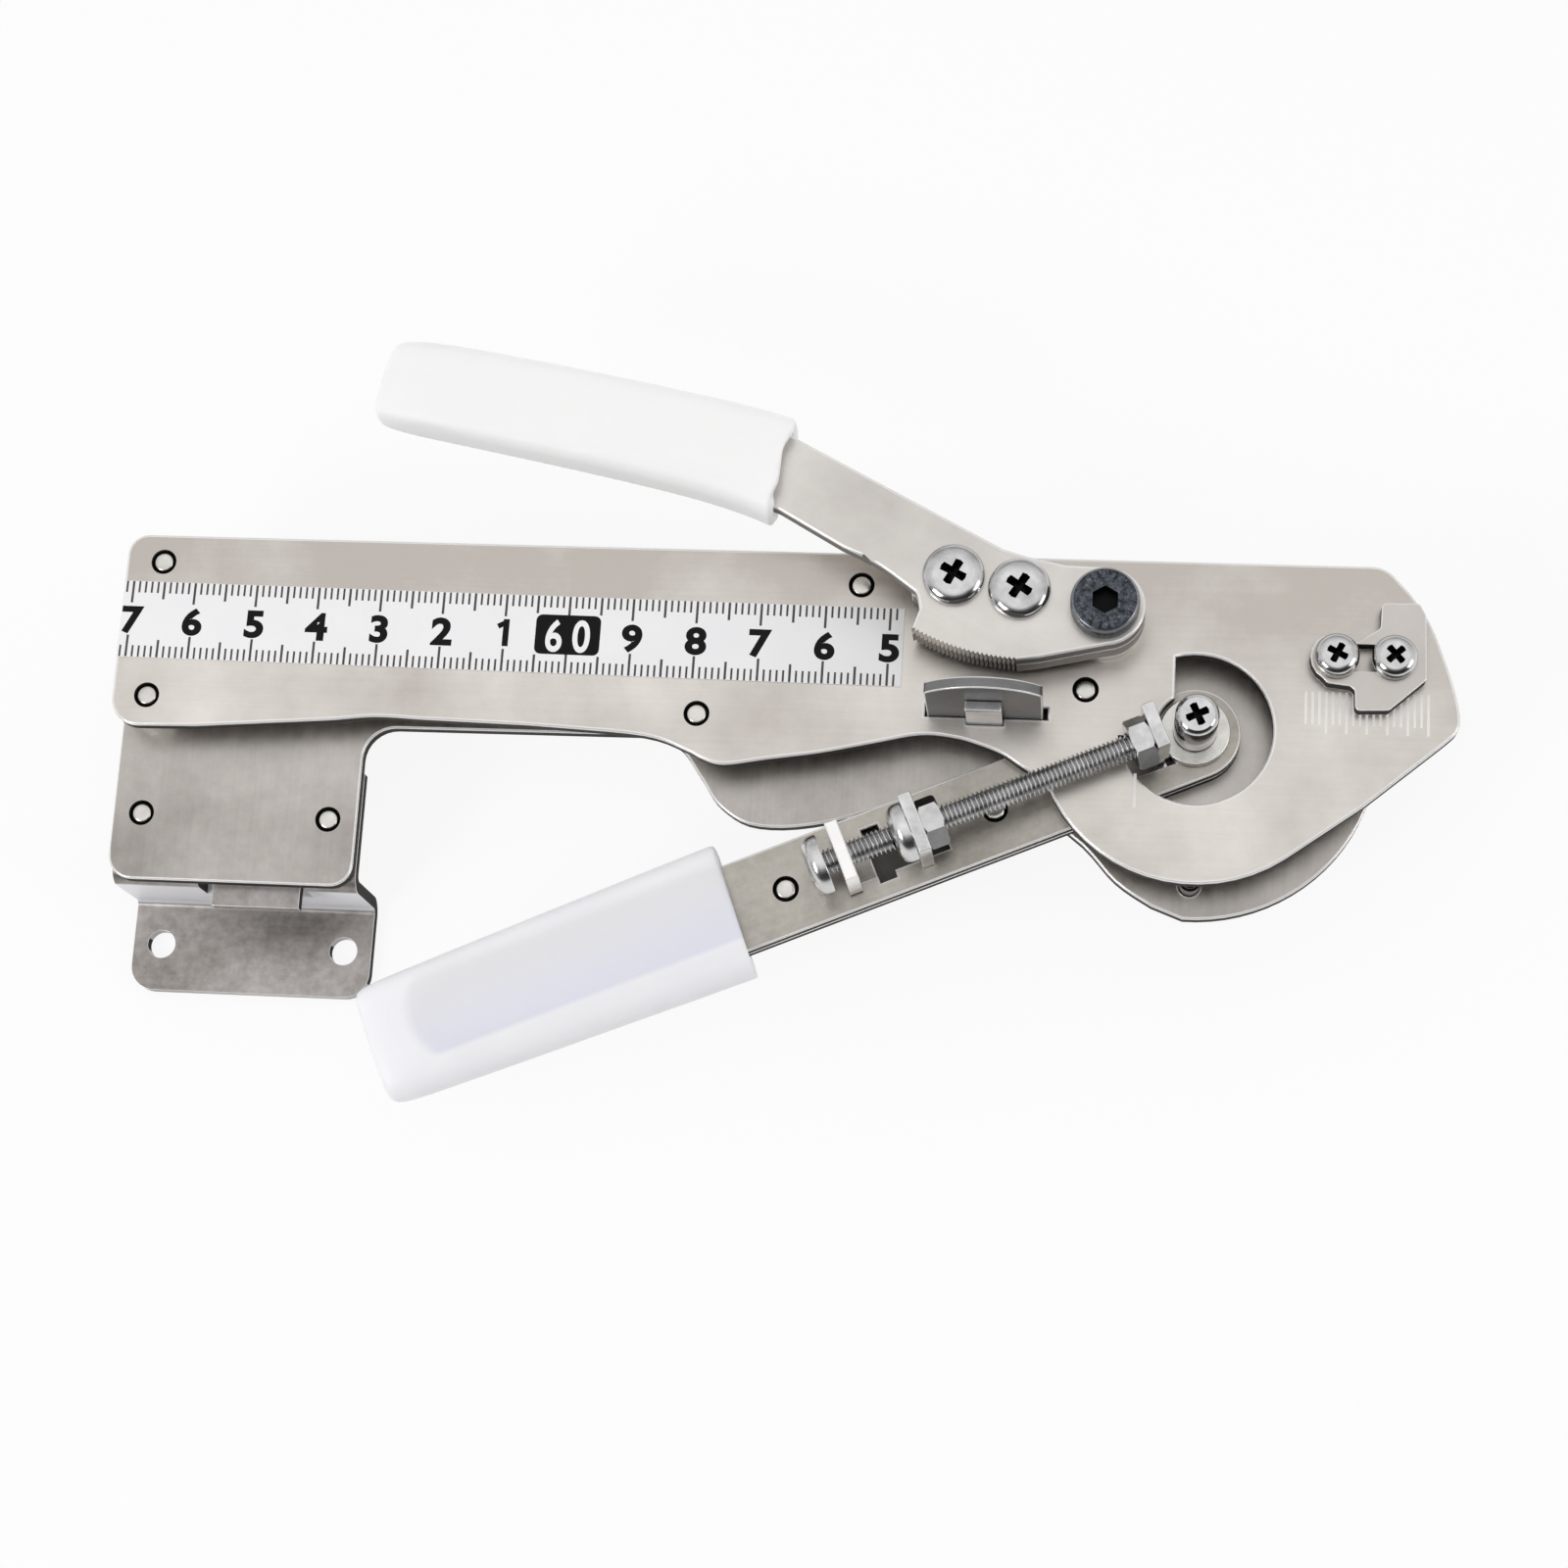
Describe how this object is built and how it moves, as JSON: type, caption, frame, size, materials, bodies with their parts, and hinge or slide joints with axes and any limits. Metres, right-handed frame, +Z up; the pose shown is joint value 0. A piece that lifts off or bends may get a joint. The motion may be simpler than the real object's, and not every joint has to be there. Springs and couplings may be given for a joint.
{
  "type": "wire bending tool",
  "caption": "Bench wire bending tool: a toothed cam lever clamps the wire against an anvil and a swinging arm wraps it round a mandrel.",
  "frame": {"origin": "midway between the two bench holes, on the underside of the bracket flange", "axes": "+X along the plates towards the nose, +Y across the plates away from the flange, +Z up off the bench"},
  "size_m": [0.208, 0.1189, 0.043],
  "materials": {
    "satin_steel": "satin, warm grey",
    "bracket_steel": "satin, darker grey",
    "turned_steel": "turned, bright",
    "zinc_steel": "bright zinc plated",
    "black_oxide": "black oxide",
    "anvil_steel": "hardened, dark grey",
    "tape_white": "white film with black marks",
    "frosted_sleeve": "soft translucent white"
  },
  "bodies": {
    "frame": {"front_plate": "satin_steel", "rear_plate": "satin_steel", "mount_bracket": "bracket_steel", "plate_spacers": "turned_steel", "plate_rivets": "turned_steel", "bracket_rivets": "turned_steel", "arm_stop_pin": "turned_steel", "ruler_tape": "tape_white", "anvil_plate": "anvil_steel", "anvil_post": "zinc_steel", "lever_screw": "black_oxide", "lever_spacer": "turned_steel", "lever_washer": "turned_steel", "lever_nut": "black_oxide", "pivot_bush": "turned_steel", "mandrel_screw": "zinc_steel", "mandrel_nut": "zinc_steel", "stop_screws": "zinc_steel", "stop_nuts": "zinc_steel"},
    "lever": {"lever_plate": "satin_steel", "grip_jaw": "satin_steel", "jaw_screws": "zinc_steel", "lever_sleeve": "frosted_sleeve"},
    "arm": {"arm_top_sheet": "satin_steel", "arm_bottom_sheet": "satin_steel", "arm_rivets": "turned_steel", "arm_sleeve": "frosted_sleeve"},
    "carriage": {"slide_lug": "zinc_steel", "bending_finger": "zinc_steel", "long_screw": "zinc_steel", "lug_lock_nut": "zinc_steel", "finger_lock_nut": "zinc_steel"},
    "adjuster": {"adjusting_screw": "zinc_steel"},
    "stop": {"end_stop": "satin_steel"}
  },
  "joints": [
    {"name": "lever_pivot", "type": "hinge", "parent": "frame", "child": "lever", "pos_m": [0.1348, 0.0513, 0.0305], "axis": [0, 0, 1], "range_deg": [-35, 17]},
    {"name": "arm_pivot", "type": "hinge", "parent": "frame", "child": "arm", "pos_m": [0.149, 0.0349, 0.02175], "axis": [0, 0, 1], "range_deg": [-6, 41]},
    {"name": "carriage_slide", "type": "slide", "parent": "arm", "child": "carriage", "axis": [0.9171, 0.3987, 0], "range_m": [-0.0015, 0.0003]},
    {"name": "adjuster_turn", "type": "hinge", "parent": "carriage", "child": "adjuster", "pos_m": [0.09856, 0.01297, 0.0305], "axis": [0.9171, 0.3987, 0], "range_deg": [-772, 155]},
    {"name": "end_stop_slide", "type": "slide", "parent": "frame", "child": "stop", "axis": [1, 0, 0], "range_m": [-0.001, 0.001]}
  ],
  "couplings": [
    {"joint": "adjuster_turn", "follows": "carriage_slide", "rad_per_m": 8976}
  ]
}
